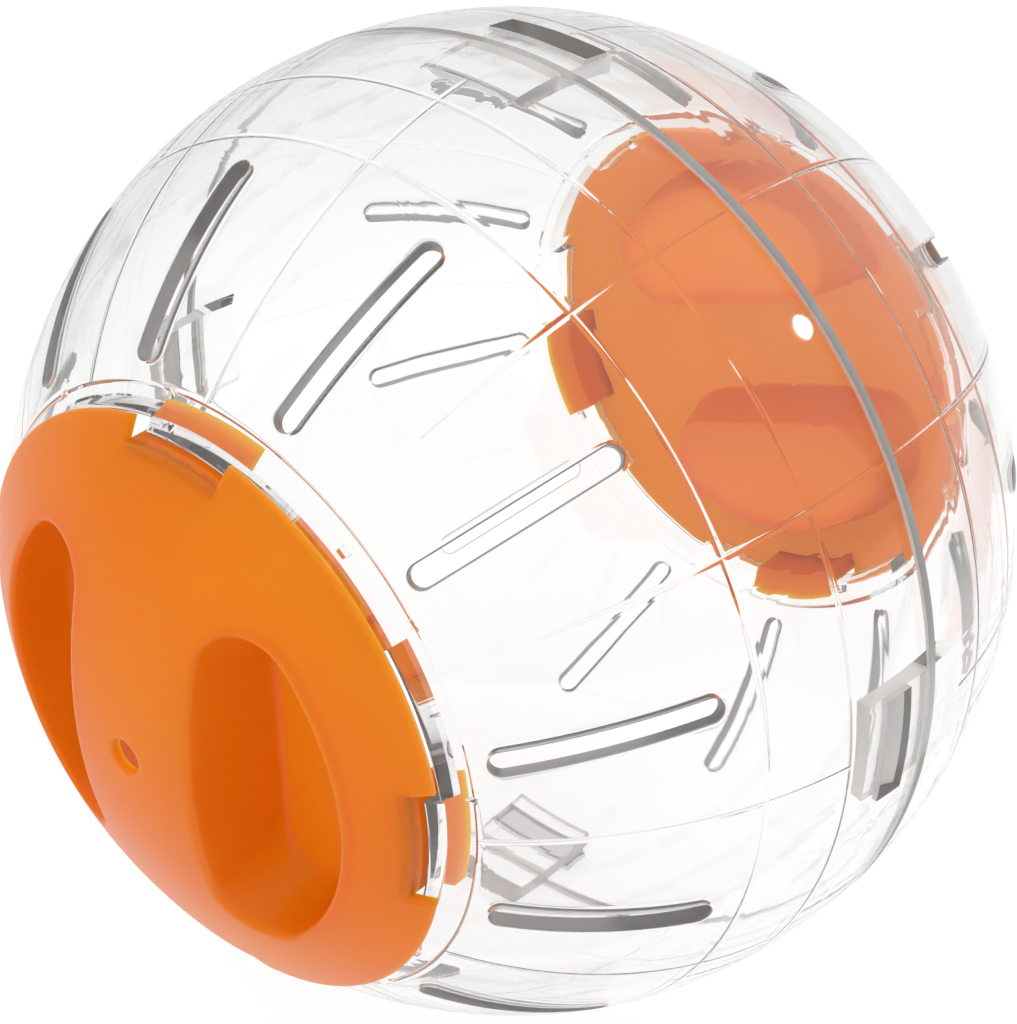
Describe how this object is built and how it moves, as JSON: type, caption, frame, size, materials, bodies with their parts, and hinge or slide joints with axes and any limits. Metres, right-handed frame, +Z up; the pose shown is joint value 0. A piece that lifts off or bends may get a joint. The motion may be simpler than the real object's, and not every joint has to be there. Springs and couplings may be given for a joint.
{
  "type": "hamster ball",
  "caption": "Clear hollow exercise ball for a small pet, split at its middle, with air slots and domed orange twist lids with finger grips at its ends.",
  "frame": {"origin": "centre of the ball", "axes": "+Z up, +Y along the lids' common axis from the front lid to the rear lid, +X to the right"},
  "size_m": [0.12, 0.1228, 0.12],
  "materials": {
    "clear_shell": "clear polished polystyrene",
    "orange_lid": "smooth moulded orange plastic"
  },
  "bodies": {
    "ball": {"front_shell": "clear_shell", "rear_shell": "clear_shell"},
    "front_lid": {"front_lid": "orange_lid"},
    "rear_lid": {"rear_lid": "orange_lid"}
  },
  "joints": [
    {"name": "front_lid_twist", "type": "hinge", "parent": "ball", "child": "front_lid", "pos_m": [0, -0.055, 0], "axis": [0, -1, 0], "range_deg": [-21.5, 23.5]},
    {"name": "rear_lid_twist", "type": "hinge", "parent": "ball", "child": "rear_lid", "pos_m": [0, 0.055, 0], "axis": [0, 1, 0], "range_deg": [0, 45]}
  ]
}
